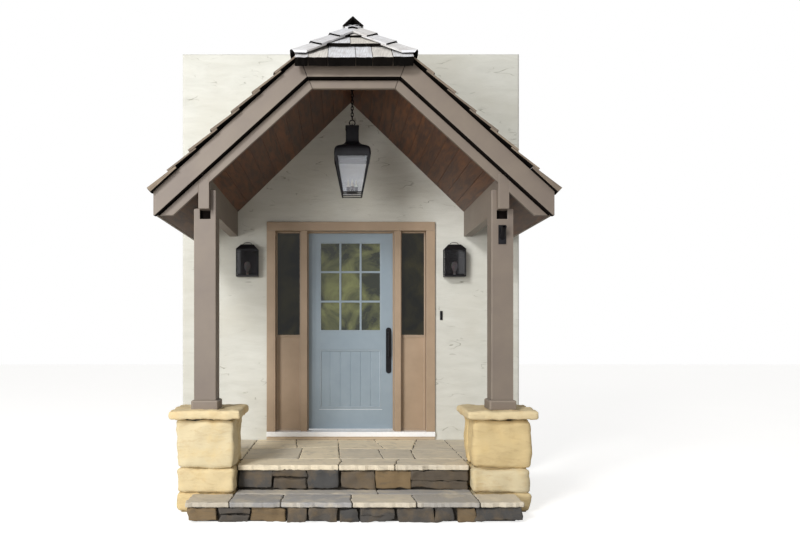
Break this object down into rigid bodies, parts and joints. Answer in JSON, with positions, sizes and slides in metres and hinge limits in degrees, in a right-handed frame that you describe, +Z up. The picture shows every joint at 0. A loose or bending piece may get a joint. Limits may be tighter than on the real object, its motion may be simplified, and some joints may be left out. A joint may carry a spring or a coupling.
{
  "type": "entrance porch",
  "caption": "Entrance porch with a clipped-gable shake roof on posts and stone piers, steps, hanging lantern and a panelled door with sidelights in a wall section.",
  "frame": {"origin": "on the ground under the middle of the whole, midway between the front of the lower step and the inner knob", "axes": "+X to the right as one faces the door, +Y into the house, +Z up"},
  "size_m": [3.6, 2.182, 4.5],
  "materials": {
    "stucco": "rough trowelled stucco",
    "fieldstone": "split fieldstone in mortar",
    "flagstone": "cleft flagstone",
    "cap_stone": "sawn limestone",
    "timber": "opaque taupe stain",
    "roof_core": "rough sawn",
    "ceiling_boards": "dark stained boards",
    "shakes": "weathered split shakes",
    "joinery": "satin taupe paint",
    "sill": "white paint",
    "sub_sill": "tan stain",
    "door_paint": "satin slate blue paint",
    "glass": "clear",
    "ironwork": "matt black",
    "steel": "satin",
    "wax": "candle tube",
    "bulb": "frosted"
  },
  "bodies": {
    "porch": {"left_wall": "stucco", "right_wall": "stucco", "wall_over_door": "stucco", "wall_below_door": "fieldstone", "landing_base": "fieldstone", "landing_slabs": "flagstone", "lower_step_base": "fieldstone", "lower_step_slabs": "flagstone", "left_pier": "fieldstone", "right_pier": "fieldstone", "pier_caps": "cap_stone", "post_plinths": "timber", "left_post": "timber", "right_post": "timber", "roof_beams": "timber", "left_roof_frame": "roof_core", "right_roof_frame": "roof_core", "hip_frame": "roof_core", "left_ceiling": "ceiling_boards", "right_ceiling": "ceiling_boards", "hip_ceiling": "ceiling_boards", "eave_soffits": "ceiling_boards", "eave_boards": "timber", "outer_rakes": "timber", "outer_collar_board": "timber", "inner_rakes": "timber", "inner_collar_board": "timber", "left_roof_shakes": "shakes", "right_roof_shakes": "shakes", "hip_shakes": "shakes", "hip_caps": "shakes", "ridge_cap": "shakes", "casing_legs": "joinery", "casing_head": "joinery", "frame_posts": "joinery", "frame_head": "joinery", "door_stops": "joinery", "door_sill": "sill", "sub_sill": "sub_sill", "sidelight_panels": "joinery", "sidelight_glass": "glass", "frame_hinge_leaves": "steel", "lantern_canopy": "ironwork", "lantern_chain": "ironwork", "lantern_cap": "ironwork", "lantern_cage": "ironwork", "lantern_glass": "glass", "lantern_candles": "wax", "wall_lights": "ironwork", "wall_light_glass": "glass", "wall_light_bulbs": "bulb", "bell_push": "ironwork", "pole_bracket": "ironwork"},
    "door": {"door_leaf": "door_paint", "door_panel": "door_paint", "door_glass": "glass", "door_handle": "ironwork", "door_hinge_leaves": "steel"}
  },
  "joints": [
    {"name": "door_swing", "type": "hinge", "parent": "porch", "child": "door", "pos_m": [-0.466, 1.037, 1.538], "axis": [0, 0, 1], "range_deg": [0, 95]}
  ]
}
